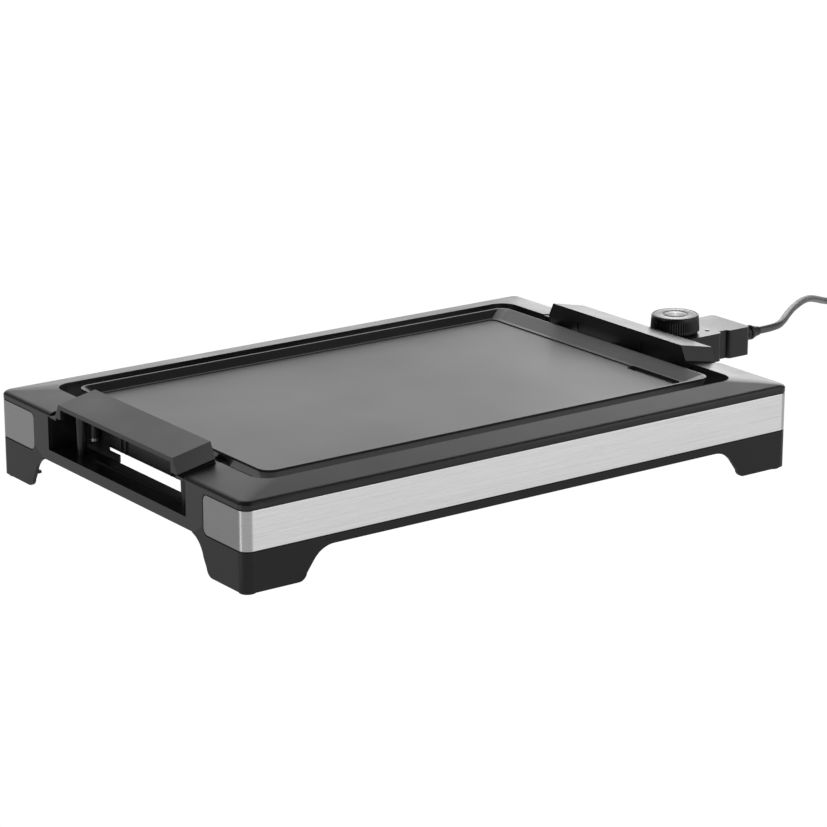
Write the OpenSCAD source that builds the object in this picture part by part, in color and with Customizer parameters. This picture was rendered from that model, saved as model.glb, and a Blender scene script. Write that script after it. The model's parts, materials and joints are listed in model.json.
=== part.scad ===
// Electric griddle: a cast plate with two end handles lies in a four-footed base,
// and a plug-in temperature controller heats it. X runs along the long side,
// with the controller at +X. Z is up and the rubber pads stand on z = 0.

/* [Base] */
// Length of the base along X
base_w = 560; // [552:2:570]
// Depth of the base along Y
base_d = 385.5; // [382:0.5:390]
// Radius of the upright corners
corner_r = 9; // [8:0.5:10]
// Wall thickness of the mouldings
wall = 2.5; // [2:0.25:3]
// Length of the opening for the plate
open_w = 490; // [486:1:492]
// Depth of the opening for the plate
open_d = 327; // [324:1:329]
// Corner radius of the opening
open_r = 16.5; // [14:0.5:18]
// Height of the top ring at the opening
ring_top = 80; // [79.5:0.25:80.5]

/* [Trim band] */
// Lower edge of the steel bands
band_z0 = 35.7; // [35.5:0.1:36.5]
// Upper edge of the steel bands
band_z1 = 68.6; // [68.2:0.1:69]
// Thickness of the bands
band_t = 1; // [0.8:0.1:1.2]
// Distance of a band's free ends from the middle plane
band_end = 134.5; // [133:0.5:136]

/* [Feet] */
// Height that the rubber pads lift the feet
pad_h = 2; // [1.5:0.25:2.5]
// Underside of the rails between the feet
arch_z = 27.8; // [27:0.2:28.4]
// Half distance between the feet on the front long side
foot_x = 229; // [225:1:232]
// Half distance between the feet on the rear long side
rear_foot_x = 254; // [252:1:255]
// Length of the slope from a front foot up to the arch
foot_slope = 32.5; // [31:0.5:34]
// Length of the slope from a rear foot up to the arch
rear_foot_slope = 26; // [25:0.5:28]
// Half distance between the feet on the short sides
foot_y = 145; // [143:1:147]

/* [Grip pocket] */
// Half width of a grip pocket
pocket_y = 109; // [108:0.5:109.5]
// Top of the crossbar below a pocket
bar_top = 42.7; // [42:0.1:43.5]
// Underside of the crossbar
bar_low = 33; // [32.5:0.5:34]
// Depth of the crossbar
bar_deep = 30; // [29:0.5:31]

/* [Plate] */
// Length of the plate
plate_w = 460.5; // [458:0.5:462]
// Depth of the plate
plate_d = 295; // [292:0.5:297]
// Corner radius of the plate
plate_r = 11; // [10:1:13]
// Top of the plate's rim
rim_top = 80.4; // [80:0.2:81]
// Height of the cooking surface
cook_z = 74.2; // [74:0.2:74.6]
// Underside of the plate
plate_low = 69.5; // [69.3:0.1:69.5]

/* [Controller] */
// Y of the controller's middle plane
ctrl_y = -6; // [-9:1:-5]
// Underside of the controller
ctrl_low = 50.2; // [49.8:0.1:51]
// Seam between its two shells
ctrl_seam = 61.5; // [61.5:0.1:61.6]
// Top of the controller
ctrl_top = 77; // [76:0.5:77.5]
// Diameter of the knob
knob_d = 44.8; // [43.6:0.1:45.6]
// X of the knob's axis
knob_x = 310; // [308:0.5:312]

/* [Hidden] */
$fn = 48;
eps = 0.01;
soft_fn = 32;

black = "#2a2a2c";
soft_black = "#1d1d1f";
steel = "#b9bbbd";
brass = "#c9a95a";

// lip and wall of the top frame
lip_z1 = 75.6;
frame_low = band_z0 - 0.2;
band_gap = 0.8;
end_x = base_w / 2;
end_y = base_d / 2;
skirt_low = 51;
skirt_top = ring_top - wall - 0.4;
skirt_x = open_w / 2 + 2;

// screw columns and rubber pads in the feet
column_at = [end_x - 18.5, end_y - 17.5];
pad_at = [end_x - 9, end_y - 10];

// handles: lug and leg places, measured from the middle planes
handle_in = 244.4;
handle_top = 93.7;
lug_x = 252;
lug_y = 81.5;
leg_x = 263;
leg_y = 82.5;
handle_half = 90.5;
handle_splay = 97;
// half width of the gap below the skirt, between the grip pocket and the inside
gap_half = 66;

// heating parts
axis_z = 66;
element_d = 7;
pin_pitch = 24;
probe_d = 6.4;
sleeve_d = 7.6;
drain_at = [206.5, -69];

// supply cord
cord_d = 7;
cord_exit = [413, ctrl_y, 62];
coil_at = [756, 143];
coil_in = 31.5;
coil_out = 45.5;
coil_h = 21;
plug_z = 18;

// Route of the cord from the strain relief to the coil
CORD = [
    [413, -6, 62], [427, -5.5, 62], [440.5, -2.5, 62], [452.5, 4.5, 61.8], [464, 13, 61.6],
    [476.5, 23, 61.2], [490.5, 34, 60.2], [504.5, 45, 59], [519, 56, 57.2], [533, 67, 55],
    [547, 78, 52.4], [561, 89, 49.4], [575, 100, 46], [588.5, 110.5, 42.2], [602.5, 121.5, 37.8],
    [616, 132, 33.2], [630, 143, 28.4], [643.5, 153.5, 23.6], [657, 164, 18.8], [670, 173.5, 14.4],
    [683.5, 180.3, 10.4], [698, 184, 7.1], [713, 185, 4.9], [728, 185, 3.8], [742, 185, 3.6],
    [756, 185, 3.6]
];
// Route of the cord from the coil to the plug
CORD_END = [
    for (p = [[0, 17.5], [-14, 17.6], [-28, 17.9], [-40, 18]]) [coil_at[0] + 42, coil_at[1] + p[0], p[1]]
];

function arc(c, r, a0, a1, n = 8) =
    [for (i = [0:n]) let (a = a0 + (a1 - a0) * i / n) [c[0] + r * cos(a), c[1] + r * sin(a)]];

module rounded_rect(w, d, r) {
    square([w - 2 * r, d], center = true);
    square([w, d - 2 * r], center = true);
    for (x = [-1, 1], y = [-1, 1])
        translate([x * (w / 2 - r), y * (d / 2 - r)])
            circle(r);
}

// A flat block with rounded upright corners, standing on z0
module rounded_block(w, d, r, z0, z1) {
    translate([0, 0, z0])
        linear_extrude(z1 - z0)
            rounded_rect(w, d, r);
}

// The base's outline, moved inwards by inset
module base_block(inset, z0, z1) {
    rounded_block(base_w - 2 * inset, base_d - 2 * inset, max(corner_r - inset, 1), z0, z1);
}

// A profile drawn in Y and Z, run along X from x0 to x1
module along_x(x0, x1) {
    translate([x0, 0, 0])
        rotate([90, 0, 90])
            linear_extrude(x1 - x0)
                children();
}

// A profile drawn in X and Z, run along Y from y0 to y1
module along_y(y0, y1) {
    translate([0, y1, 0])
        rotate([90, 0, 0])
            linear_extrude(y1 - y0)
                children();
}

module box(low, high) {
    translate(low)
        cube(high - low);
}

module both_ends() {
    children();
    mirror([1, 0, 0])
        children();
}

module both_sides() {
    children();
    mirror([0, 1, 0])
        children();
}

module at_corners(place) {
    for (x = [-1, 1], y = [-1, 1])
        translate([x * place[0], y * place[1], 0])
            children();
}

// ---------- base ----------

// Space between the feet, seen from a long side
module arch_profile(half, slope) {
    right = concat(
        arc([half + 1, pad_h + 8], 8, 270, 190),
        arc([half - slope, arch_z - 23], 23, 35, 90)
    );
    left = [for (i = [len(right) - 1:-1:0]) [-right[i][0], right[i][1]]];
    polygon(concat([[-half - 1, -1], [half + 1, -1]], right, left));
}

// Space between the feet, seen from a short side
module end_arch_profile() {
    right = concat(
        arc([foot_y + 1, pad_h + 8], 8, 270, 190),
        arc([foot_y - 33, bar_low - 22.5], 22.5, 15, 90)
    );
    left = [for (i = [len(right) - 1:-1:0]) [-right[i][0], right[i][1]]];
    polygon(concat([[-foot_y - 1, -1], [foot_y + 1, -1]], right, left));
}

// Side view of what a rail keeps on the short sides: it ends on a slanting seam
module rail_end_profile() {
    polygon([
        [-end_y - 1, 0], [-end_y - 1, frame_low], [-band_end + 1, frame_low],
        [-band_end + 1.5, frame_low + 6], [-120, bar_low - 0.5], [-100, bar_low - 0.5], [-100, 0]
    ]);
}

module band_profile() {
    // rounded at the free end only, since the rest wraps round the corner
    translate([-end_y, (band_z0 + band_z1) / 2])
        rounded_rect(2 * (end_y - band_end), band_z1 - band_z0, 5.5);
}

module band_space(grow) {
    difference() {
        along_x(-end_x - 1, end_x + 1)
            translate([-end_y, (band_z0 + band_z1) / 2])
                rounded_rect(2 * (end_y - band_end + grow), band_z1 - band_z0 + 2 * grow, 5.5 + grow);
        base_block(band_t, 0, 100);
    }
}

module top_frame() color(black) {
    frame_shell();
    // rib along the left crossbar
    box([-264, -76, bar_top - 1], [-262.5, 60, bar_top + 1]);
    // screw bosses inside the four corners
    at_corners(column_at)
        difference() {
            translate([0, 0, frame_low])
                cylinder(d = 10, h = lip_z1 + 1 - frame_low);
            translate([0, 0, frame_low - 1])
                cylinder(d = 4, h = 26);
        }
}

module frame_shell() difference() {
    union() {
        // rounded fold and the top that rises to the opening
        hull() {
            base_block(0, lip_z1 - 3, lip_z1 - 2.5);
            base_block(1.2, lip_z1 - 1, lip_z1 - 0.9);
            base_block(3.6, lip_z1 + 0.2, lip_z1 + 0.3);
            rounded_block(open_w, open_d, open_r, ring_top - 0.1, ring_top);
        }
        base_block(0, bar_low, lip_z1 - 2.6);
    }
    // hollow under the ring
    hull() {
        base_block(wall + band_t, lip_z1 - 5.5, lip_z1 - 5.4);
        base_block(wall + band_t + 1.6, lip_z1 - 2.4, lip_z1 - 2.3);
        rounded_block(open_w + 2, open_d + 2, open_r, ring_top - wall - 0.1, ring_top - wall);
    }
    frame_hollow();
    rounded_block(open_w, open_d, open_r, 20, 100);
    both_sides() {
        band_space(band_gap);
        // the rails close the sides below the bands
        intersection() {
            box([-end_x - 1, -end_y - 1, 0], [end_x + 1, -100, frame_low + 10]);
            along_x(-end_x - 1, end_x + 1)
                rail_end_profile();
        }
    }
    both_ends() {
        // grip pocket, open at the top where the handle lies
        box([end_x - bar_deep, -pocket_y, bar_top], [end_x + 1, pocket_y, 72]);
        box([open_w / 2 - 5, -106, 60], [end_x + 1, 106, 100]);
    }
}

// Inside of the frame's walls, leaving the crossbars standing as channels
module frame_hollow() {
    difference() {
        base_block(wall + band_t, 20, lip_z1 - 5.3);
        both_ends() {
            box([end_x - bar_deep, -118, bar_top - wall], [end_x, 118, bar_top]);
            box([end_x - bar_deep, -118, bar_low + 2], [end_x - bar_deep + wall, 118, bar_top]);
            box([end_x - wall - band_t - eps, -118, bar_low], [end_x, 118, bar_top]);
        }
    }
}

module inner_skirt() color(black) difference() {
    union() {
        difference() {
            rounded_block(open_w + 4, open_d + 4, open_r + 2, skirt_low, skirt_top);
            rounded_block(open_w, open_d, open_r, skirt_low - 1, skirt_top + 1);
        }
        both_ends() both_sides() {
            // cheek of a grip pocket and a flange on the crossbar
            box([skirt_x - 1, -pocket_y - 2, bar_top], [end_x - wall - band_t, -pocket_y, 70]);
            box([skirt_x - 1, -pocket_y - 2, bar_top], [skirt_x + 8, -pocket_y + 6, bar_top + 2]);
            // beside the gap the skirt reaches down behind the crossbar
            box([skirt_x - 1.5, -pocket_y, bar_top - 2.2], [skirt_x, -gap_half, skirt_low + 1]);
            box([skirt_x - 1, -44.5, skirt_low], [skirt_x + 1.6, -43, 70]);
            box([skirt_x - 1, -36.5, skirt_low], [skirt_x + 1.6, -35, 70]);
            // rolled lower edge
            box([skirt_x - 2, -gap_half, skirt_low], [skirt_x + 1.2, gap_half, skirt_low + 1.2]);
        }
        // low step at the back end of the gap
        both_ends()
            box([skirt_x - 1.5, gap_half - 17, bar_top - 2.2], [skirt_x, gap_half + 1, 47]);
    }
    // the handle comes down to this height
    both_ends()
        box([200, -106.5, 71.2], [skirt_x + 5, 106.5, 100]);
    // the handles' lugs pass through open notches
    both_ends() both_sides()
        box([200, -lug_y - 11, plate_low - 1.2], [skirt_x + 5, -lug_y + 11, 90]);
    // window for the controller's socket
    box([200, ctrl_y - 32, 40], [skirt_x + 5, ctrl_y + 32, 90]);
    // window for the drip tray
    box([200, -78, 40], [skirt_x + 5, -30, 61]);
}

module rail(foot, slope) {
    difference() {
        union() {
            intersection() {
                difference() {
                    base_block(0, pad_h, frame_low + 8);
                    base_block(3, pad_h - 1, frame_low + 9);
                }
                along_x(-end_x - 1, end_x + 1)
                    rail_end_profile();
            }
            both_ends() {
                // floor of the foot and the screw column that stands on it
                intersection() {
                    base_block(0, pad_h, pad_h + 2.5);
                    box([end_x - 25, -end_y, 0], [end_x, -end_y + 24, 10]);
                }
                translate([column_at[0], -column_at[1], pad_h])
                    cylinder(d = 12, h = frame_low - pad_h);
                box([column_at[0], -column_at[1] - 1, pad_h], [end_x - 1, -column_at[1] + 1, 24]);
                box([column_at[0] - 1, -end_y + 1, pad_h], [column_at[0] + 1, -column_at[1], 24]);
            }
        }
        along_y(-end_y - 1, -end_y + 6)
            arch_profile(foot, slope);
        along_x(-end_x - 1, end_x + 1)
            end_arch_profile();
        // shadow gap under the band
        intersection() {
            band_space(band_gap);
            box([-end_x - 1, -end_y - 1, frame_low - band_gap], [end_x + 1, -band_end + 1, frame_low + 10]);
        }
        both_ends() {
            translate([column_at[0], -column_at[1], 0]) {
                cylinder(d = 9, h = 22);
                cylinder(d = 4.6, h = 60);
            }
            translate([pad_at[0], -pad_at[1], 0])
                cylinder(d = 5, h = 10);
        }
    }
}

module front_rail() color(soft_black) rail(foot_x, foot_slope);

module rear_rail() color(soft_black) mirror([0, 1, 0]) rail(rear_foot_x, rear_foot_slope);

module band() {
    difference() {
        intersection() {
            base_block(0, band_z0, band_z1);
            along_x(-end_x - 1, end_x + 1)
                band_profile();
        }
        base_block(band_t, 0, 100);
    }
}

module front_band() color(steel) band();

module rear_band() color(steel) mirror([0, 1, 0]) band();

module rubber_feet() color("#111112") at_corners(pad_at) {
    cylinder(d = 14, h = pad_h);
    cylinder(d = 5, h = pad_h + 4);
}

module base_screws() color(steel) at_corners(column_at) {
    translate([0, 0, 18.5])
        cylinder(d = 8, h = 3.5);
    translate([0, 0, 20])
        cylinder(d = 4, h = 34);
}

tray_x = [188, end_x - 3];
tray_y = [-75, -40];
tray_z = [43.6, 58];

module tray_shelf() color(black) difference() {
    union() {
        box([tray_x[0] - 4, tray_y[0] - 3, 40.5], [end_x - bar_deep, tray_y[1] + 2, tray_z[0] - 0.4]);
        box([tray_x[0] - 4, tray_y[0] - 3, 40.5], [end_x - bar_deep, tray_y[0] - 0.6, 48]);
        box([tray_x[0] - 4, tray_y[1] + 0.6, 40.5], [end_x - bar_deep, tray_y[1] + 2, 48]);
        box([end_x - bar_deep - 4, tray_y[0] - 3, 35.6], [end_x - bar_deep, tray_y[1] + 2, 41]);
    }
    box([tray_x[0] + 14, tray_y[0] + 8, 30], [end_x - bar_deep - 12, tray_y[1] - 8, 60]);
}

module drip_tray() color("#3a3a3c") difference() {
    union() {
        box([tray_x[0], tray_y[0], tray_z[0]], [tray_x[1], tray_y[1], tray_z[1]]);
        // front plate that a finger pulls
        box([tray_x[1] - 2, tray_y[0] - 2, tray_z[0]], [tray_x[1], tray_y[1] + 1, 63]);
    }
    box(
        [tray_x[0] + 1.6, tray_y[0] + 1.6, tray_z[0] + 1.6],
        [tray_x[1] - 2, tray_y[1] - 1.6, tray_z[1] + 1]
    );
}

// ---------- plate ----------

module griddle_plate() color("#39393b") difference() {
    union() {
        hull() {
            rounded_block(plate_w, plate_d, plate_r, rim_top - 2, rim_top);
            rounded_block(plate_w - 8, plate_d - 8, plate_r - 2, plate_low, plate_low + 1);
        }
        both_ends() both_sides() {
            box([215, -lug_y - 8, plate_low], [lug_x, -lug_y + 8, plate_low + 4.5]);
            translate([lug_x, -lug_y, 55.5])
                cylinder(d = 8.4, h = plate_low + 4.5 - 55.5);
        }
        // channel for the probe and bosses for the clips and the guard
        box([190, ctrl_y - 6.5, 60.5], [225, ctrl_y + 6.5, plate_low + 1]);
        for (p = CLIPS)
            translate([p[0], p[1], element_low])
                cylinder(d = 9, h = plate_low + 1 - element_low);
        translate([drain_at[0], drain_at[1], 61])
            cylinder(d = 12, h = plate_low + 1 - 61);
    }
    // inner wall, gentler on the right
    hull() {
        rounded_block(plate_w - 4, plate_d - 4, plate_r - 2, rim_top, rim_top + 5);
        translate([-5, 0, 0])
            rounded_block(plate_w - 24, plate_d - 21, plate_r - 4, cook_z + 0.9, cook_z + 1);
    }
    translate([-7, 0, 0])
        rounded_block(plate_w - 30, plate_d - 26, plate_r - 5, cook_z, rim_top);
    // trough that leads to the drain
    hull()
        for (y = [drain_at[1], -127])
            translate([drain_at[0], y, cook_z - 1.6])
                cylinder(d = 8, h = 4, $fn = soft_fn);
    translate([drain_at[0], drain_at[1], 50])
        cylinder(d = 7, h = 40);
    translate([180, ctrl_y, axis_z])
        rotate([0, 90, 0])
            cylinder(d = probe_d + 0.1, h = 50);
    both_ends() both_sides()
        translate([lug_x, -lug_y, 50])
            cylinder(d = 4.6, h = 40);
    for (p = CLIPS)
        translate([p[0], p[1], 50])
            cylinder(d = 3.6, h = plate_low + 1 - 50);
    for (y = [-20, 20])
        translate([220, ctrl_y + y, 50])
            cylinder(d = 3.6, h = plate_low + 2.5 - 50);
}

element_low = axis_z - element_d / 2;
loop_x = [-180, 180];
loop_y = 84;
bend_r = 14;
// clip bosses beside the straight runs of the element
CLIPS = [[-90, loop_y - 11], [90, loop_y - 11], [-90, -loop_y + 11], [90, -loop_y + 11]];

// Quarter of a bent rod in the plane of the element
module bend(c, a0) {
    translate([c[0], c[1], axis_z])
        rotate([0, 0, a0])
            rotate_extrude(angle = 90)
                translate([bend_r, 0])
                    circle(d = element_d);
}

// Straight rod between two points of the element's plane
module run(p, q) {
    v = q - p;
    translate([p[0], p[1], axis_z])
        rotate([0, 90, atan2(v[1], v[0])])
            cylinder(d = element_d, h = norm(v));
}

module heating_element() color("#8d8a86") {
    near = pin_pitch / 2;
    r = bend_r;
    both = [1, -1];
    for (s = both) {
        y0 = ctrl_y + s * near;
        corner_y = s * loop_y;
        run([loop_x[1] + r, y0], [232, y0]);
        run([loop_x[1], y0 + s * r], [loop_x[1], corner_y - s * r]);
        run([loop_x[0] + r, corner_y], [loop_x[1] - r, corner_y]);
        bend([loop_x[1] + r, y0 + s * r], s > 0 ? 180 : 90);
        bend([loop_x[1] - r, corner_y - s * r], s > 0 ? 0 : 270);
        bend([loop_x[0] + r, corner_y - s * r], s > 0 ? 90 : 180);
    }
    run([loop_x[0], -loop_y + r], [loop_x[0], loop_y - r]);
}

module element_clips() color(steel) for (p = CLIPS) {
    out = p[1] > 0 ? 1 : -1;
    difference() {
        translate([p[0], p[1] + out * 5.5, element_low - 0.75])
            cube([12, 21, 1.5], center = true);
        translate([p[0], p[1], 0])
            cylinder(d = 4.4, h = 100);
    }
}

module clip_screws() color(steel) for (p = CLIPS)
    translate([p[0], p[1], element_low - 3.5]) {
        cylinder(d = 7, h = 2);
        cylinder(d = 3.6, h = 9);
    }

// Handle block in the +X half: a sloping hollow cover with two legs
module handle_outside() {
    hull() {
        box([end_x - 0.2, -handle_half, 86.2], [end_x, handle_half, 86.4]);
        box([handle_in, -handle_half, handle_top - 0.2], [handle_in + 0.2, handle_half, handle_top]);
        box([end_x - 0.2, -handle_splay, 73.9], [end_x, handle_splay, 74]);
        box([handle_in, -handle_splay, 80.8], [handle_in + 0.2, handle_splay, 81]);
        box([handle_in + 0.6, -handle_splay + 2, 73], [handle_in + 0.8, handle_splay - 2, 73.1]);
    }
}

module handle_inside() {
    hull() {
        box([end_x - 3, -handle_half + 2.5, 83], [end_x - 2.8, handle_half - 2.5, 83.2]);
        box([handle_in + 2.4, -handle_half + 2.5, 90.4], [handle_in + 2.5, handle_half - 2.5, 90.6]);
        box([handle_in + 2.4, -handle_splay + 3, 70], [end_x - 3, handle_splay - 3, 70.2]);
        box([handle_in + 2.4, -handle_splay + 3, 76], [end_x - 3, handle_splay - 3, 76.2]);
    }
}

module handle() {
    difference() {
        union() {
            difference() {
                handle_outside();
                handle_inside();
                // finger opening under the outer lip
                box([end_x - 8, -handle_half + 3, 60], [end_x + 1, handle_half - 3, 82.6]);
                // the plate's lugs pass below the inner wall
                both_sides()
                    box([handle_in - 1, -lug_y - 8.4, 70], [handle_in + 4, -lug_y + 8.4, plate_low + 4.9]);
            }
            both_sides() {
                // ledge that lies in the frame's gap
                along_y(-105.6, -handle_splay + 2)
                    polygon([
                        [end_x, 71.5], [end_x, 73.4], [handle_in, 79.4], [handle_in, 77.8],
                        [handle_in + 6, 76.2]
                    ]);
                intersection() {
                    union() {
                        translate([leg_x, -leg_y, bar_top])
                            cylinder(d1 = 8, d2 = 10, h = 47);
                        translate([lug_x, -lug_y, plate_low + 4.5])
                            cylinder(d = 10, h = 30);
                    }
                    union() {
                        handle_outside();
                        box([200, -100, 40], [end_x, 0, 82]);
                    }
                }
            }
        }
        both_sides()
            translate([lug_x, -lug_y, plate_low])
                cylinder(d = 3.8, h = 16);
    }
}

module left_handle() color(black) mirror([1, 0, 0]) handle();

module right_handle() color(black) difference() {
    handle();
    // label recess and slot on the inner face
    box([handle_in - 4, -31.5, 74], [handle_in + 1, 55, 83.2]);
    box([handle_in - 4, -42.5, 77.6], [handle_in + 1, -35.5, 85]);
}

module handle_screws() color(steel) both_ends() both_sides()
    translate([lug_x, -lug_y, 0]) {
        translate([0, 0, 53])
            cylinder(d = 8, h = 2.5);
        translate([0, 0, 54])
            cylinder(d = 3.8, h = 30);
    }

// ---------- socket on the plate ----------

pin_y = [ctrl_y - pin_pitch / 2, ctrl_y + pin_pitch / 2];
guard_x = [246, 262];
guard_z = [53.5, 72.6];

module rod(d, x0, x1, y) {
    translate([x0, y, axis_z])
        rotate([0, 90, 0])
            cylinder(d = d, h = x1 - x0);
}

module terminal_pins() color(steel) for (y = pin_y)
    rod(6, 232, 261, y);

module pin_insulators() color("#e8e4da") for (y = pin_y)
    difference() {
        rod(11, 238, 249, y);
        rod(6, 230, 260, y);
    }

module socket_guard() color("#9c9da0") difference() {
    union() {
        box([guard_x[0], ctrl_y - 25, guard_z[0]], [guard_x[1], ctrl_y + 25, guard_z[1]]);
        box([214, ctrl_y - 25, plate_low - 1.2], [guard_x[0] + 1, ctrl_y - 17, plate_low]);
        box([214, ctrl_y + 17, plate_low - 1.2], [guard_x[0] + 1, ctrl_y + 25, plate_low]);
    }
    box(
        [guard_x[0] + 1.2, ctrl_y - 23.8, guard_z[0] + 1.2],
        [guard_x[1] + 1, ctrl_y + 23.8, guard_z[1] - 1.2]
    );
    for (y = pin_y)
        rod(11, 230, 255, y);
    rod(8, 230, 255, ctrl_y);
    for (y = [-20, 20])
        translate([220, ctrl_y + y, 50])
            cylinder(d = 4.2, h = 30);
}

module guard_screws() color(steel) for (y = [-20, 20])
    translate([220, ctrl_y + y, plate_low - 3.2]) {
        cylinder(d = 7, h = 2);
        cylinder(d = 3.6, h = 5.6);
    }

// ---------- controller ----------

// Outline of the controller: nose, body, waist and tail, moved inwards by inset
module controller_outline(inset) {
    for (part = CTRL_PARTS)
        translate([(part[0] + part[1]) / 2, ctrl_y])
            rounded_rect(part[1] - part[0] - 2 * inset, 2 * (part[2] - inset), max(part[3] - inset, 1));
}

// x from, x to, half width, corner radius
CTRL_PARTS = [[264, 344, 28, 5], [338, 358, 22.5, 2.5], [353, 379.5, 26, 4]];
nose = [250, 21.5, 56, 71];

module controller_shell(z0, z1, inner_z0, inner_z1) {
    difference() {
        union() {
            translate([0, 0, z0])
                linear_extrude(z1 - z0)
                    controller_outline(0);
            box([nose[0], ctrl_y - nose[1], max(z0, nose[2])], [268, ctrl_y + nose[1], min(z1, nose[3])]);
        }
        translate([0, 0, inner_z0])
            linear_extrude(inner_z1 - inner_z0)
                controller_outline(2);
        // the inner rooms of body and tail join
        box([334, ctrl_y - 19, inner_z0], [370, ctrl_y + 19, inner_z1]);
        box(
            [nose[0] + 2, ctrl_y - nose[1] + 2, max(inner_z0, nose[2] + 2)],
            [270, ctrl_y + nose[1] - 2, min(inner_z1, nose[3] - 1.1)]
        );
        strain_hole();
    }
}

module strain_hole() {
    translate([366, ctrl_y, cord_exit[2]])
        rotate([0, 90, 0])
            cylinder(d = 10, h = 20);
}

CTRL_SCREWS = [for (s = [-1, 1]) each [[275, ctrl_y + s * 22.6], [333, ctrl_y + s * 22.6]]];

module controller_upper() color(black) difference() {
    union() {
        controller_shell(ctrl_seam, ctrl_top, ctrl_seam - 1, ctrl_top - 2);
        for (p = CTRL_SCREWS)
            translate([p[0], p[1], ctrl_seam])
                cylinder(d = 7, h = ctrl_top - ctrl_seam - 1);
    }
    for (p = CTRL_SCREWS)
        translate([p[0], p[1], ctrl_seam - 1])
            cylinder(d = 3, h = 11);
    for (y = pin_y)
        rod(sleeve_d, 240, 262, y);
    rod(probe_d, 240, 262, ctrl_y);
    translate([knob_x, ctrl_y, 70])
        cylinder(d = 9.6, h = 20);
    translate([lamp_at[0], lamp_at[1], 70])
        cylinder(d = 4, h = 20);
}

module controller_lower() color(black) difference() {
    union() {
        controller_shell(ctrl_low, ctrl_seam, ctrl_low + 2, ctrl_seam + 1);
        for (p = CTRL_SCREWS)
            translate([p[0], p[1], ctrl_low])
                cylinder(d = 8, h = ctrl_seam - ctrl_low);
    }
    for (p = CTRL_SCREWS)
        translate([p[0], p[1], ctrl_low - 1]) {
            cylinder(d = 6, h = 5);
            cylinder(d = 3.4, h = 30);
        }
}

module controller_screws() color(steel) for (p = CTRL_SCREWS)
    translate([p[0], p[1], ctrl_low + 2]) {
        cylinder(d = 5.6, h = 2);
        cylinder(d = 3, h = 16);
    }

module contact_sleeves() color(brass) for (y = pin_y)
    difference() {
        rod(sleeve_d, 250, 282, y);
        rod(6.1, 249, 264, y);
    }

module probe_rod() color(steel) rod(probe_d, 193, knob_x - 16, ctrl_y);

module thermostat_switch() color("#6c6a66") difference() {
    union() {
        box([knob_x - 16, ctrl_y - 13, 54], [knob_x + 16, ctrl_y + 13, 70]);
        translate([knob_x, ctrl_y, 69])
            cylinder(d = 9.6, h = ctrl_top + 0.1 - 69);
    }
    translate([knob_x, ctrl_y, 62])
        cylinder(d = 6.1, h = 30);
}

lamp_at = [338.5, -18.5];

module lamp_lens() color("#2a1512") translate([lamp_at[0], lamp_at[1], ctrl_top - 3]) {
    cylinder(d = 4, h = 3.5);
}

module cord_clamp() color("#4a4a4c") difference() {
    box([359, ctrl_y - 15, 54], [365, ctrl_y + 15, 70]);
    translate([350, ctrl_y, cord_exit[2]])
        rotate([0, 90, 0])
            cylinder(d = cord_d, h = 30);
    for (y = [-11, 11])
        translate([362, ctrl_y + y, 50])
            cylinder(d = 3, h = 30);
}

module strain_relief() color("#161617")
    translate([0, ctrl_y, cord_exit[2]])
        rotate([0, 90, 0])
            rotate_extrude()
                polygon(concat(
                    [[0, 373.6], [7.5, 373.6], [7.5, 377.4], [5, 377.4], [5, 379.6], [7.4, 379.6], [7.4, 383]],
                    [for (i = [0:3]) each let (x = 384 + 5.2 * i, r = 7.2 - 0.1 * i)
                        [[r - 1.6, x], [r - 1.6, x + 1.2], [r, x + 1.8], [r, x + 4.2]]],
                    [[6.2, 404.8], [5.2, 408], [4.5, 411], [4.2, cord_exit[0]], [0, cord_exit[0]]]
                ));

// ---------- knob ----------

knob_z = [ctrl_top + 0.6, 94.2];
teeth = 60;

function knob_edge(r) = [
    for (i = [0:teeth - 1], k = [0:3])
        let (a = (i + [0, 0.15, 0.5, 0.65][k]) * 360 / teeth, q = r - (k == 1 || k == 2 ? 0.5 : 0))
        [q * cos(a), q * sin(a)]
];

module knob() color(soft_black) translate([knob_x, ctrl_y, 0]) difference() {
    union() {
        translate([0, 0, knob_z[0]])
            cylinder(d = knob_d - 3, h = 2);
        translate([0, 0, knob_z[0] + 1.8])
            linear_extrude(12.4)
                polygon(knob_edge(knob_d / 2));
        translate([0, 0, knob_z[0] + 14])
            cylinder(d1 = knob_d - 0.6, d2 = knob_d - 2, h = knob_z[1] - knob_z[0] - 14);
    }
    difference() {
        translate([0, 0, 0])
            cylinder(d = knob_d - 7, h = knob_z[1] - 5);
        cylinder(d = 11, h = 100);
    }
    translate([0, 0, 70])
        cylinder(d = 6, h = knob_z[1] - 5 - 70);
    // seat of the disc
    translate([0, 0, knob_z[1] - 0.8])
        cylinder(d = knob_d - 5, h = 5);
    // the bushing stands up into the hub
    translate([0, 0, 70])
        cylinder(d = 10.2, h = knob_z[0] + 1 - 70);
}

module knob_disc() color("#c8c8ca") translate([knob_x, ctrl_y, knob_z[1] - 0.8]) difference() {
    cylinder(d = knob_d - 5, h = 0.7);
    translate([0, 0, 0.45])
        difference() {
            cylinder(d = 21, h = 1);
            cylinder(d = 19.4, h = 1);
        }
}

module knob_shaft() color(steel) translate([knob_x, ctrl_y, 62.5])
    cylinder(d = 6, h = knob_z[1] - 5.5 - 62.5);

// ---------- cord ----------

function unit(v) = v / norm(v);
function tangent(p, i) = unit(p[min(i + 1, len(p) - 1)] - p[max(i - 1, 0)]);
// Side and up vectors that stay level, square to a direction
function level(t) = unit(cross([0, 0, 1], t));
function ring(p, i, r, n) =
    let (t = tangent(p, i), u = level(t), v = cross(t, u))
    [for (k = [0:n - 1]) p[i] + r * (cos(360 * k / n + 180 / n) * u + sin(360 * k / n + 180 / n) * v)];

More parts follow.
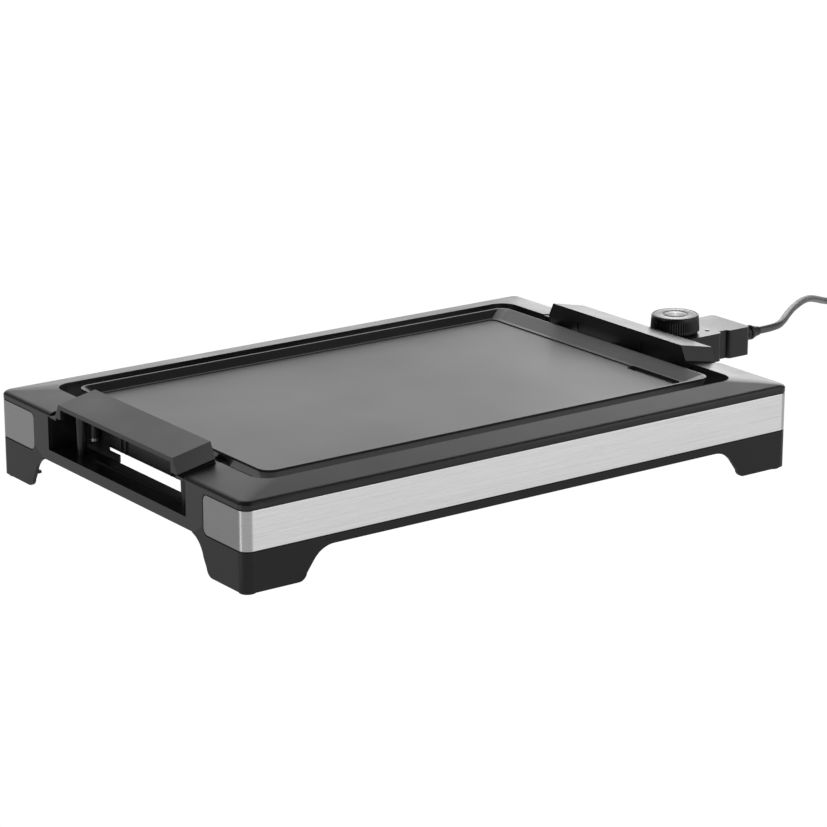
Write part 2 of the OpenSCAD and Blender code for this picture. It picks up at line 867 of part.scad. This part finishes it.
// Tube along points, closed at both ends
module tube(p, d, n = 10) {
    last = len(p) - 1;
    polyhedron(
        [for (i = [0:last]) each ring(p, i, d / 2, n)],
        concat(
            [[for (k = [0:n - 1]) k]],
            [for (i = [0:last - 1], k = [0:n - 1])
                [i * n + k, (i + 1) * n + k, (i + 1) * n + (k + 1) % n, i * n + (k + 1) % n]],
            [[for (k = [n - 1:-1:0]) last * n + k]]
        )
    );
}

module cord() color("#2f2f31") tube(CORD, cord_d);

module cord_end() color("#2f2f31") tube(CORD_END, cord_d);

module cord_coil() color("#2f2f31") translate([coil_at[0], coil_at[1], 0])
    rotate_extrude()
        translate([coil_in, 0])
            square([coil_out - coil_in, coil_h]);

module cord_tie() color("#111112") translate([coil_at[0], coil_at[1], 0]) rotate([0, 0, 215])
    difference() {
        box([coil_in - 1.5, -4, 0], [coil_out + 1, 4, coil_h + 1]);
        rotate_extrude()
            translate([coil_in, -1])
                square([coil_out - coil_in, coil_h + 1]);
    }

module along_plug() {
    translate([CORD_END[3][0], CORD_END[3][1], plug_z])
        rotate([90, 0, 0])
            children();
}

module plug_body() color("#202022") along_plug() difference() {
    rotate_extrude()
        polygon([
            [0, 0], [5, 0], [6.5, 10], [9, 13], [12, 26], [17.5, 32], [18, 34], [18, 50], [16.5, 54], [0, 54]
        ]);
    for (s = [-1, 1])
        translate([0, s * 17, 46])
            cube([6, 5, 20], center = true);
}

module plug_pins() color(steel) along_plug()
    for (s = [-1, 1])
        translate([s * 9.5, 0, 54]) {
            cylinder(d = 4.8, h = 17.6);
            translate([0, 0, 17.6])
                cylinder(d1 = 4.8, d2 = 2.6, h = 1.4);
        }

top_frame();
inner_skirt();
front_rail();
rear_rail();
front_band();
rear_band();
rubber_feet();
base_screws();
tray_shelf();
drip_tray();
griddle_plate();
left_handle();
right_handle();
handle_screws();
heating_element();
element_clips();
clip_screws();
terminal_pins();
pin_insulators();
socket_guard();
guard_screws();
controller_upper();
controller_lower();
controller_screws();
contact_sleeves();
probe_rod();
thermostat_switch();
lamp_lens();
cord_clamp();
strain_relief();
knob();
knob_disc();
knob_shaft();
cord();
cord_coil();
cord_tie();
cord_end();
plug_body();
plug_pins();
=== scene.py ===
"""Electric griddle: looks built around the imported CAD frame. Lengths are in metres."""

import json
import math

import bmesh
import bpy
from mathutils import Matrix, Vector


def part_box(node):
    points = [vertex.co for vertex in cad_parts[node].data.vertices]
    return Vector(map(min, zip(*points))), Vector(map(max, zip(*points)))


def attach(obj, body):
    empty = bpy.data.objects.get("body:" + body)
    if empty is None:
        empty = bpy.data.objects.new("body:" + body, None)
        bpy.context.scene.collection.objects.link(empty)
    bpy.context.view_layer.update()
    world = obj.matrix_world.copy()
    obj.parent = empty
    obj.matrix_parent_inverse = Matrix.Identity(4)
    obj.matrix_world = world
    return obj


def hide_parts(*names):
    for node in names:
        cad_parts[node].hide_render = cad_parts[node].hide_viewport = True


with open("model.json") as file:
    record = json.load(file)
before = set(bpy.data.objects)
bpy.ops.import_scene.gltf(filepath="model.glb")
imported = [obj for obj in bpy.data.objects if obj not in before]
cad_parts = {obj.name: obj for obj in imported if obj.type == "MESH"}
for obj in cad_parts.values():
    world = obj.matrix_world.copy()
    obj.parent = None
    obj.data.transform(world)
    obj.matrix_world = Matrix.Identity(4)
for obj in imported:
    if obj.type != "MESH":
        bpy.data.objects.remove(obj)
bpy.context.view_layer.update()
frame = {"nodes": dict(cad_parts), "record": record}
NODES = frame["nodes"]
MM = 0.001


# ---------- camera ----------


CAMERA_AT = (-1.44647, -2.02507, 0.79557)
CAMERA_DOWN = 16.64
CAMERA_TURN = -35.89


def make_camera():
    """The photograph's viewing angle, level and without shift."""
    data = bpy.data.cameras.new("camera")
    data.sensor_width = 36
    data.lens = 131.08
    data.clip_end = 50
    camera = bpy.data.objects.new("camera", data)
    camera.location = CAMERA_AT
    camera.rotation_euler = (math.radians(90 - CAMERA_DOWN), 0, math.radians(CAMERA_TURN))
    bpy.context.scene.collection.objects.link(camera)
    bpy.context.scene.camera = camera


make_camera()


# ---------- cord ----------

CORD_D = 7 * MM
# the points below are in millimetres: the route from the strain relief to the coil, as in the CAD source
CORD_ROUTE = [
    (413, -6, 62), (427, -5.5, 62), (440.5, -2.5, 62), (452.5, 4.5, 61.8), (464, 13, 61.6),
    (476.5, 23, 61.2), (490.5, 34, 60.2), (504.5, 45, 59), (519, 56, 57.2), (533, 67, 55),
    (547, 78, 52.4), (561, 89, 49.4), (575, 100, 46), (588.5, 110.5, 42.2), (602.5, 121.5, 37.8),
    (616, 132, 33.2), (630, 143, 28.4), (643.5, 153.5, 23.6), (657, 164, 18.8), (670, 173.5, 14.4),
    (683.5, 180.3, 10.4), (698, 184, 7.1), (713, 185, 4.9), (728, 185, 3.8), (742, 185, 3.6),
]
# the route from the coil to the plug
CORD_END = [(798, 129, 17.6), (798, 115, 17.9), (798, 103, 18)]
COIL_CENTRE = (756, 143)
# lanes of the coil: degrees travelled when a lane is reached, its radius and its height
COIL_LANES = [(0, 42, 3.6), (360, 35, 3.6), (660, 35, 10.6), (960, 42, 10.6), (1260, 42, 17.5)]
# degrees travelled in all, while changing lane, and between two points
COIL_TRAVEL = 1530
LANE_CHANGE = 60
COIL_STEP = 15


def smooth(t):
    t = min(max(t, 0), 1)
    return t * t * (3 - 2 * t)


def coil_points():
    """Turns of the coil, wound clockwise from its rear, a diameter apart."""
    points = []
    for travelled in range(0, COIL_TRAVEL + 1, COIL_STEP):
        radius, height = COIL_LANES[0][1:]
        for start, r, z in COIL_LANES[1:]:
            share = smooth((travelled - start + LANE_CHANGE) / LANE_CHANGE)
            radius += (r - radius) * share
            height += (z - height) * share
        angle = math.radians(90 - travelled)
        x, y = COIL_CENTRE
        points.append((x + radius * math.cos(angle), y + radius * math.sin(angle), height))
    return points


def make_cord():
    points = [Vector(p) * MM for p in CORD_ROUTE + coil_points() + CORD_END]
    data = bpy.data.curves.new("mains_cord", "CURVE")
    data.dimensions = "3D"
    # the points' radius carries the cord's thickness
    data.bevel_depth = 1
    data.bevel_resolution = 5
    data.resolution_u = 6
    data.use_fill_caps = True
    spline = data.splines.new("BEZIER")
    spline.bezier_points.add(len(points) - 1)
    for point, place in zip(spline.bezier_points, points):
        point.co = place
        point.radius = CORD_D / 2
        point.handle_left_type = point.handle_right_type = "AUTO"
    cord = bpy.data.objects.new("mains_cord", data)
    bpy.context.scene.collection.objects.link(cord)
    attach(cord, "controller")
    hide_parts("cord", "cord_coil", "cord_end")
    return cord


mains_cord = make_cord()


# ---------- materials ----------


class Nodes:
    """A Principled material and short ways to add nodes to it."""

    def __init__(self, name, color, rough, metal=0.0, specular=0.5):
        self.material = bpy.data.materials.new(name)
        self.material.use_nodes = True
        self.tree = self.material.node_tree
        self.shader = self.tree.nodes["Principled BSDF"]
        self.shader.inputs["Base Color"].default_value = (*color, 1)
        self.shader.inputs["Roughness"].default_value = rough
        self.shader.inputs["Metallic"].default_value = metal
        self.shader.inputs["Specular IOR Level"].default_value = specular
        self.coords = self.tree.nodes.new("ShaderNodeTexCoord").outputs["Object"]

    def link(self, a, b):
        self.tree.links.new(a, b)

    def stretched(self, factors):
        node = self.tree.nodes.new("ShaderNodeVectorMath")
        node.operation = "MULTIPLY"
        node.inputs[1].default_value = factors
        self.link(self.coords, node.inputs[0])
        return node.outputs[0]

    def noise(self, scale, detail=2.0, stretch=None, sharp=0.5):
        node = self.tree.nodes.new("ShaderNodeTexNoise")
        node.inputs["Scale"].default_value = scale
        node.inputs["Detail"].default_value = detail
        node.inputs["Roughness"].default_value = sharp
        self.link(self.stretched(stretch) if stretch else self.coords, node.inputs["Vector"])
        return node.outputs["Fac"]

    def ranged(self, value, low, high, start=0.3, end=0.7):
        node = self.tree.nodes.new("ShaderNodeMapRange")
        node.inputs["From Min"].default_value = start
        node.inputs["From Max"].default_value = end
        node.inputs["To Min"].default_value = low
        node.inputs["To Max"].default_value = high
        self.link(value, node.inputs["Value"])
        return node.outputs["Result"]

    def math(self, operation, a, b):
        node = self.tree.nodes.new("ShaderNodeMath")
        node.operation = operation
        for value, socket in zip((a, b), node.inputs):
            if isinstance(value, (int, float)):
                socket.default_value = value
            else:
                self.link(value, socket)
        return node.outputs[0]

    def tint(self, value, dark, light, start=0.3, end=0.7):
        """Base colour that runs from dark to light with value."""
        node = self.tree.nodes.new("ShaderNodeMix")
        node.data_type = "RGBA"
        self.link(self.ranged(value, 0, 1, start, end), node.inputs["Factor"])
        node.inputs["A"].default_value = (*dark, 1)
        node.inputs["B"].default_value = (*light, 1)
        self.link(node.outputs["Result"], self.shader.inputs["Base Color"])

    def rough(self, value, low, high, start=0.3, end=0.7):
        self.link(self.ranged(value, low, high, start, end), self.shader.inputs["Roughness"])

    def bump(self, value, depth, strength=1.0):
        node = self.tree.nodes.new("ShaderNodeBump")
        node.inputs["Distance"].default_value = depth
        node.inputs["Strength"].default_value = strength
        self.link(value, node.inputs["Height"])
        self.link(node.outputs["Normal"], self.shader.inputs["Normal"])


def grey(value):
    return (value, value, value * 1.02)


def moulded(name, dark, light, rough, specular, grain=1100, depth=0.00002):
    """Moulded plastic: a fine spark-eroded grain, with broad patches a little glossier."""
    nodes = Nodes(name, grey(dark), rough, specular=specular)
    fine = nodes.noise(grain, 3)
    patches = nodes.noise(22, 3)
    mixed = nodes.math("ADD", nodes.math("MULTIPLY", fine, 0.5), nodes.math("MULTIPLY", patches, 0.5))
    nodes.tint(mixed, grey(dark), grey(light), 0.4, 0.6)
    nodes.rough(patches, rough - 0.03, rough + 0.05)
    nodes.bump(fine, depth, 0.35)
    return nodes.material


def brushed(name, tone, rough, stretch, depth=0.00001, spread=0.05, anisotropy=0.5):
    """Sheet metal brushed along the axes with the small stretch factors."""
    nodes = Nodes(name, grey(tone), rough, metal=1.0)
    nodes.shader.inputs["Anisotropic"].default_value = anisotropy
    lines = nodes.noise(1, 4, stretch, 0.65)
    cloud = nodes.noise(14, 2)
    mixed = nodes.math("ADD", nodes.math("MULTIPLY", lines, 0.8), nodes.math("MULTIPLY", cloud, 0.2))
    nodes.tint(mixed, grey(tone - spread), grey(tone + spread), 0.35, 0.65)
    nodes.rough(lines, rough - 0.05, rough + 0.07)
    nodes.bump(lines, depth, 0.5)
    return nodes.material


# distance from the middle plane over which a band turns its corner, and where its return begins: painted
# shade darkens the base colour over both
CORNER_SHADE_SPAN = (0.2712, 0.2728)
RETURN_SHADE_SPAN = (0.2792, 0.2799)


def band_steel(name):
    """Brushed along the band, with painted shade darkening its corners and, further, its returns."""
    nodes = Nodes(name, grey(0.8), 0.3, metal=1.0)
    nodes.shader.inputs["Anisotropic"].default_value = 0.7
    nodes.shader.inputs["Anisotropic Rotation"].default_value = 0.25
    lines = nodes.noise(1, 5, (9, 9, 2600), 0.7)
    fine = nodes.noise(1, 3, (60, 60, 5200), 0.6)
    mixed = nodes.math("ADD", nodes.math("MULTIPLY", lines, 0.6), nodes.math("MULTIPLY", fine, 0.4))
    parts = nodes.tree.nodes.new("ShaderNodeSeparateXYZ")
    nodes.link(nodes.coords, parts.inputs[0])
    along = nodes.math("ABSOLUTE", parts.outputs["X"], 0)
    # painted shade: the base colour falls to 0.62 over the corner and a further 0.58 on the return
    corner = nodes.ranged(along, 1.0, 0.62, *CORNER_SHADE_SPAN)
    ends = nodes.ranged(along, 1.0, 0.58, *RETURN_SHADE_SPAN)
    shade = nodes.math("MULTIPLY", corner, ends)
    tone = nodes.math("MULTIPLY", nodes.ranged(mixed, 0.72, 0.87, 0.38, 0.62), shade)
    nodes.tint(tone, (0, 0, 0), (1, 1, 1), 0, 1)
    nodes.rough(lines, 0.25, 0.36)
    nodes.bump(mixed, 0.00001, 0.5)
    return nodes.material


def non_stick(name):
    """Sprayed coating on a casting: fine speckle over a soft orange peel."""
    nodes = Nodes(name, grey(0.03), 0.36, specular=0.55)
    speck = nodes.noise(1500, 2, sharp=0.7)
    peel = nodes.noise(420, 3)
    cloud = nodes.noise(9, 3)
    mixed = nodes.math("ADD", nodes.math("MULTIPLY", speck, 0.75), nodes.math("MULTIPLY", cloud, 0.25))
    nodes.shader.inputs["Sheen Weight"].default_value = 0.08
    nodes.tint(mixed, grey(0.008), grey(0.028), 0.38, 0.64)
    nodes.rough(cloud, 0.33, 0.38)
    nodes.bump(nodes.math("ADD", speck, peel), 0.00004, 0.4)
    return nodes.material


def spun(name, centre, tone, rough):
    """Lathe-turned disc: fine rings about an upright axis."""
    nodes = Nodes(name, grey(tone), rough, metal=1.0)
    nodes.shader.inputs["Anisotropic"].default_value = 0.6
    away = nodes.tree.nodes.new("ShaderNodeVectorMath")
    away.operation = "SUBTRACT"
    away.inputs[1].default_value = centre
    nodes.link(nodes.coords, away.inputs[0])
    flat = nodes.tree.nodes.new("ShaderNodeVectorMath")
    flat.operation = "MULTIPLY"
    flat.inputs[1].default_value = (1, 1, 0)
    nodes.link(away.outputs[0], flat.inputs[0])
    radius = nodes.tree.nodes.new("ShaderNodeVectorMath")
    radius.operation = "LENGTH"
    nodes.link(flat.outputs[0], radius.inputs[0])
    noise = nodes.tree.nodes.new("ShaderNodeTexNoise")
    noise.noise_dimensions = "1D"
    noise.inputs["Scale"].default_value = 2600
    noise.inputs["Detail"].default_value = 3
    nodes.link(radius.outputs["Value"], noise.inputs["W"])
    rings = noise.outputs["Fac"]
    nodes.tint(rings, grey(tone * 0.8), grey(tone * 1.2), 0.35, 0.65)
    nodes.rough(rings, rough - 0.06, rough + 0.08)
    nodes.bump(rings, 0.00002, 0.6)
    return nodes.material


def make_slots():
    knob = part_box("knob_disc")
    centre = ((knob[0][0] + knob[1][0]) / 2, (knob[0][1] + knob[1][1]) / 2, 0)
    slots = {
        "frame_plastic": moulded("frame_plastic", 0.009, 0.014, 0.3, 0.42),
        "foot_plastic": moulded("foot_plastic", 0.007, 0.011, 0.36, 0.3),
        "band_steel": band_steel("band_steel"),
        "pad_rubber": moulded("pad_rubber", 0.01, 0.016, 0.7, 0.3, 700, 0.00005),
        "screw_steel": brushed("screw_steel", 0.45, 0.32, (900, 900, 900), anisotropy=0.0),
        "coating": non_stick("coating"),
        "tray_plastic": moulded("tray_plastic", 0.01, 0.016, 0.45, 0.4),
        "element_steel": brushed("element_steel", 0.3, 0.42, (600, 600, 600), 0.00003, 0.08, 0.0),
        "sheet_steel": brushed("sheet_steel", 0.55, 0.3, (1800, 12, 12)),
        "pin_steel": brushed("pin_steel", 0.66, 0.2, (1500, 20, 20)),
        "ceramic": moulded("ceramic", 0.68, 0.8, 0.45, 0.5, 500, 0.00003),
        "brass": brushed("brass", 0.55, 0.28, (900, 40, 40)),
        "switch_body": moulded("switch_body", 0.1, 0.14, 0.5, 0.4),
        "lamp_red": moulded("lamp_red", 0.012, 0.02, 0.12, 0.5, 500, 0.000002),
        "knob_plastic": moulded("knob_plastic", 0.006, 0.01, 0.3, 0.4),
        "disc_metal": spun("disc_metal", centre, 0.13, 0.34),
        "cord_pvc": moulded("cord_pvc", 0.086, 0.094, 0.38, 0.45, 1600, 0.00001),
        "plug_pvc": moulded("plug_pvc", 0.01, 0.015, 0.4, 0.42),
    }
    # the same brushed metal in yellow
    shader = slots["brass"].node_tree.nodes["Principled BSDF"]
    mix = shader.inputs["Base Color"].links[0].from_node
    mix.inputs["A"].default_value = (0.5, 0.36, 0.13, 1)
    mix.inputs["B"].default_value = (0.66, 0.49, 0.2, 1)
    return slots


SLOTS = make_slots()
SLOT_OF = {row["node"]: row["material_slot"] for row in frame["record"]["subparts"]}
for name, slot in SLOT_OF.items():
    mesh = NODES[name].data
    mesh.materials.clear()
    mesh.materials.append(SLOTS[slot])
mains_cord.data.materials.append(SLOTS["cord_pvc"])


# ---------- pieces ----------

BODIES = frame["record"]["behaviour"]["bodies"]
BODY_OF = {node: body for body, nodes in BODIES.items() for node in nodes}
# edges turning less than this are facets of a curve, and stay smooth
SHARP = math.radians(24)
# faces turning less than this belong to one flat
FLAT = math.radians(0.6)
WELD = 0.002 * MM


def add_piece(name, mesh, node, *others):
    """Puts a mesh in the scene in place of a CAD node, with its slot and body."""
    piece = bpy.data.objects.new(name, mesh)
    bpy.context.scene.collection.objects.link(piece)
    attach(piece, BODY_OF[node])
    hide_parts(node, *others)
    mesh.materials.clear()
    mesh.materials.append(SLOTS[SLOT_OF[node]])
    return piece


def rounded(node, width, segments=2):
    """A copy of a CAD node whose sharp edges are rounded over width."""
    mesh = NODES[node].data.copy()
    mesh.name = node + "_rounded"
    work = bmesh.new()
    work.from_mesh(mesh)
    bmesh.ops.remove_doubles(work, verts=work.verts, dist=WELD)
    bmesh.ops.dissolve_limit(work, angle_limit=FLAT, verts=work.verts, edges=work.edges)
    for face in work.faces:
        face.smooth = True
    work.to_mesh(mesh)
    work.free()
    rough = bpy.data.objects.new(node + "_rough", mesh)
    bpy.context.scene.collection.objects.link(rough)
    bevel = rough.modifiers.new("round", "BEVEL")
    bevel.width = width
    bevel.segments = segments
    bevel.limit_method = "ANGLE"
    bevel.angle_limit = SHARP
    bevel.miter_outer = "MITER_ARC"
    rough.modifiers.new("flats", "WEIGHTED_NORMAL").weight = 90
    solved = rough.evaluated_get(bpy.context.evaluated_depsgraph_get())
    ready = bpy.data.meshes.new_from_object(solved)
    ready.name = node + "_rounded"
    bpy.data.objects.remove(rough)
    return add_piece(node + "_rounded", ready, node)


# width of the rounding of each node's edges, in millimetres
ROUNDED = {
    "top_frame": 0.7, "inner_skirt": 0.5, "front_rail": 0.8, "rear_rail": 0.8,
    "front_band": 0.45, "rear_band": 0.45, "rubber_feet": 0.4, "tray_shelf": 0.4, "drip_tray": 0.6,
    "griddle_plate": 0.7, "left_handle": 0.9, "right_handle": 0.9,
    "controller_upper": 1.2, "controller_lower": 0.8, "strain_relief": 0.3,
    "plug_body": 1.2, "cord_tie": 0.4, "socket_guard": 0.3, "cord_clamp": 0.5,
}
PIECES = {node: rounded(node, width * MM) for node, width in ROUNDED.items()}


def lathe(name, profile, columns, ripple=None):
    """A solid turned about the knob's axis from (radius, height) rows that start and end on the axis."""
    low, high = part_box("knob")
    cx, cy = (low[0] + high[0]) / 2, (low[1] + high[1]) / 2
    work = bmesh.new()
    rows = []
    for row, (radius, height) in enumerate(profile):
        if radius == 0:
            rows.append([work.verts.new((cx, cy, height * MM))])
            continue
        ring = []
        for column in range(columns):
            r = (radius - (ripple(row, column) if ripple else 0)) * MM
            angle = 2 * math.pi * column / columns
            ring.append(work.verts.new((cx + r * math.cos(angle), cy + r * math.sin(angle), height * MM)))
        rows.append(ring)
    for lower, upper in zip(rows, rows[1:]):
        for i in range(columns):
            j = (i + 1) % columns
            # a row on the axis is one point, so its quads become triangles
            corners = [lower[i % len(lower)], lower[j % len(lower)]]
            corners += [upper[j % len(upper)], upper[i % len(upper)]]
            face = work.faces.new(list(dict.fromkeys(corners)))
            face.smooth = True
    bmesh.ops.recalc_face_normals(work, faces=work.faces)
    mesh = bpy.data.meshes.new(name)
    work.to_mesh(mesh)
    work.free()
    mesh.set_sharp_from_angle(angle=math.radians(32))
    return mesh


RIBS = 60
RIB_COLUMNS = 8
RIB_DEEP = 0.55
# first and last row of the grip in the knob's profile
RIB_ROWS = (6, 14)


def rib_depth(row, column):
    """Rounded grooves down the grip, running out at both its ends."""
    if not RIB_ROWS[0] <= row <= RIB_ROWS[1]:
        return 0
    phase = (column % RIB_COLUMNS) / RIB_COLUMNS
    groove = 0.5 - 0.5 * math.cos(2 * math.pi * phase)
    fade = {RIB_ROWS[0]: 0.2, RIB_ROWS[1]: 0.15}.get(row, 1)
    return RIB_DEEP * fade * groove ** 1.4


def make_knob():
    """The ribbed grip, a skirt open below, and the bright cap in its top."""
    low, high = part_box("knob")
    z0, z1 = low[2] / MM, high[2] / MM
    grip = [(22.5 - 0.75 * t, z0 + 2.2 + (z1 - z0 - 4.6) * t) for t in [i / 8 for i in range(9)]]
    profile = [(0, z1 - 5), (17.9, z1 - 5), (17.9, z0), (20.9, z0), (21.1, z0 + 0.3), (21.3, z0 + 1.8)]
    profile += grip
    profile += [(21.75, z1 - 1.6), (21.6, z1 - 0.8), (21.2, z1 - 0.25), (20.6, z1), (20.1, z1 - 0.05)]
    profile += [(19.95, z1 - 0.3), (19.95, z1 - 0.8), (0, z1 - 0.8)]
    add_piece("knob_grip", lathe("knob_grip", profile, RIBS * RIB_COLUMNS, rib_depth), "knob")
    disc = [(0, z1 - 0.8), (19.8, z1 - 0.8), (19.8, z1 - 0.35), (19.5, z1 - 0.15), (19.1, z1 - 0.1)]
    disc += [(12.2, z1 - 0.1), (11.8, z1 - 0.2), (11.5, z1 - 0.45), (10.6, z1 - 0.45), (10.2, z1 - 0.2)]
    disc += [(9.8, z1 - 0.1), (4, z1 - 0.06), (0, z1 - 0.04)]
    add_piece("knob_cap", lathe("knob_cap", disc, 96), "knob_disc")


make_knob()


# ---------- stage ----------

FLOOR_HALF = 14
# the lit card lies over the shade, and the shade over the floor
CARD_Z = 0.0006
SHADE_AT = (0.02, 0.05, 0.0004)
# half sizes of the shade's card and of the ellipse at which it fades
SHADE_CARD = (0.18, 0.145)
SHADE_REACH = (0.16, 0.13)
# middle of the bright part of the surroundings
BRIGHT_SIDE = (0.51, 0.81, 0.29)
# place, width and height, radiance and the point that each light faces
SOFTBOXES = {
    "back_softbox": ((1.78, 1.22, 0.55), (0.95, 0.7), 1.95, (0.2, 0, 0.05)),
    "left_strip": ((-1.75, 0.3, 0.45), (0.22, 0.9), 7.0, (-0.28, -0.1, 0.05)),
    "front_softbox": ((1.2, -1.8, 1.0), (1.7, 1.3), 2.0, (0, 0, 0.05)),
}
# the lit card beside the front left corner: its point, its bearings in degrees, reach and radiance
CORNER_CARD = ((-0.283, -0.19), (161, 172), (0.03, 0.28), 1.6)


def flat_card(name, corners, place=(0, 0, 0)):
    """A stage object of one four-cornered face."""
    data = bpy.data.meshes.new(name)
    data.from_pydata([(x, y, 0) for x, y in corners], [], [(0, 1, 2, 3)])
    card = bpy.data.objects.new(name, data)
    card.location = place
    bpy.context.scene.collection.objects.link(card)
    return card


def rectangle(half_x, half_y):
    return [(-half_x, -half_y), (half_x, -half_y), (half_x, half_y), (-half_x, half_y)]


def make_floor():
    """A white sweep: plain white to the camera, a pale table to everything else."""
    floor = flat_card("floor", rectangle(FLOOR_HALF, FLOOR_HALF))
    material = bpy.data.materials.new("floor")
    material.use_nodes = True
    tree = material.node_tree
    shader = tree.nodes["Principled BSDF"]
    shader.inputs["Base Color"].default_value = (0.35, 0.35, 0.35, 1)
    shader.inputs["Roughness"].default_value = 0.9
    shader.inputs["Emission Color"].default_value = (1, 1, 1, 1)
    shader.inputs["Emission Strength"].default_value = 0.58
    white = tree.nodes.new("ShaderNodeEmission")
    white.inputs["Strength"].default_value = 1.02
    mix = tree.nodes.new("ShaderNodeMixShader")
    path = tree.nodes.new("ShaderNodeLightPath")
    tree.links.new(path.outputs["Is Camera Ray"], mix.inputs[0])
    tree.links.new(shader.outputs[0], mix.inputs[1])
    tree.links.new(white.outputs[0], mix.inputs[2])
    tree.links.new(mix.outputs[0], tree.nodes["Material Output"].inputs["Surface"])
    floor.data.materials.append(material)


def softbox(name, place, size, radiance, target):
    """A rectangular light whose surface has the given radiance."""
    data = bpy.data.lights.new(name, "AREA")
    data.shape = "RECTANGLE"
    data.size, data.size_y = size
    data.energy = radiance * math.pi * size[0] * size[1]
    light = bpy.data.objects.new(name, data)
    light.location = place
    light.rotation_euler = (Vector(target) - Vector(place)).to_track_quat("-Z", "Y").to_euler()
    bpy.context.scene.collection.objects.link(light)


def reflector(name, corner, angles, reach, radiance):
    """A lit wedge lying on the table beside the object, out of the camera's sight."""
    ends = [(angles[0], reach[0]), (angles[1], reach[0]), (angles[1], reach[1]), (angles[0], reach[1])]
    corners = []
    for angle, r in ends:
        turn = math.radians(angle)
        corners.append((corner[0] + r * math.cos(turn), corner[1] + r * math.sin(turn)))
    card = flat_card(name, corners, (0, 0, CARD_Z))
    card.visible_camera = False
    material = bpy.data.materials.new(name)
    material.use_nodes = True
    shader = material.node_tree.nodes["Principled BSDF"]
    shader.inputs["Emission Color"].default_value = (1, 1, 1, 1)
    shader.inputs["Emission Strength"].default_value = radiance
    card.data.materials.append(material)


def shade_card():
    """Soft shade on the table under the middle of the object."""
    card = flat_card("shade_card", rectangle(*SHADE_CARD), SHADE_AT)
    nodes = Nodes("shade_card", grey(0.01), 1.0)
    away = nodes.tree.nodes.new("ShaderNodeVectorMath")
    away.operation = "LENGTH"
    nodes.link(nodes.stretched((1 / SHADE_REACH[0], 1 / SHADE_REACH[1], 0)), away.inputs[0])
    mix = nodes.tree.nodes.new("ShaderNodeMixShader")
    nodes.link(nodes.ranged(away.outputs["Value"], 0, 1, 0.9, 1.1), mix.inputs[0])
    nodes.link(nodes.shader.outputs[0], mix.inputs[1])
    nodes.link(nodes.tree.nodes.new("ShaderNodeBsdfTransparent").outputs[0], mix.inputs[2])
    nodes.link(mix.outputs[0], nodes.tree.nodes["Material Output"].inputs["Surface"])
    card.data.materials.append(nodes.material)


def make_world():
    """Soft surroundings: a broad white glow low behind the object's far right corner."""
    world = bpy.data.worlds.new("world")
    world.use_nodes = True
    tree = world.node_tree
    sky = tree.nodes["Background"]
    sky.inputs["Color"].default_value = (1, 1, 1, 1)
    way = tree.nodes.new("ShaderNodeTexCoord").outputs["Generated"]
    parts = tree.nodes.new("ShaderNodeSeparateXYZ")
    tree.links.new(way, parts.inputs[0])

    def ramp(value, start, end, low, high):
        node = tree.nodes.new("ShaderNodeMapRange")
        node.interpolation_type = "SMOOTHSTEP"
        for name, number in zip(("From Min", "From Max", "To Min", "To Max"), (start, end, low, high)):
            node.inputs[name].default_value = number
        tree.links.new(value, node.inputs["Value"])
        return node.outputs["Result"]

    def times(a, b):
        node = tree.nodes.new("ShaderNodeMath")
        node.operation = "MULTIPLY"
        tree.links.new(a, node.inputs[0])
        tree.links.new(b, node.inputs[1])
        return node.outputs[0]

    bright_side = tree.nodes.new("ShaderNodeVectorMath")
    bright_side.operation = "DOT_PRODUCT"
    bright_side.inputs[1].default_value = BRIGHT_SIDE
    tree.links.new(way, bright_side.inputs[0])
    # brighter towards the horizon, dim overhead and away from the bright side
    up = parts.outputs["Z"]
    height = times(ramp(up, 0, 0.55, 1.45, 1.0), ramp(up, 0.51, 0.61, 1.0, 0.3))
    side = ramp(bright_side.outputs["Value"], 0.86, 0.97, 0.24, 1.22)
    tree.links.new(times(height, side), sky.inputs["Strength"])
    bpy.context.scene.world = world
    bpy.context.scene.view_settings.view_transform = "Standard"


make_floor()
shade_card()
make_world()
for title, settings in SOFTBOXES.items():
    softbox(title, *settings)
reflector("corner_card", *CORNER_CARD)


# ---------- end ----------

bpy.context.view_layer.update()
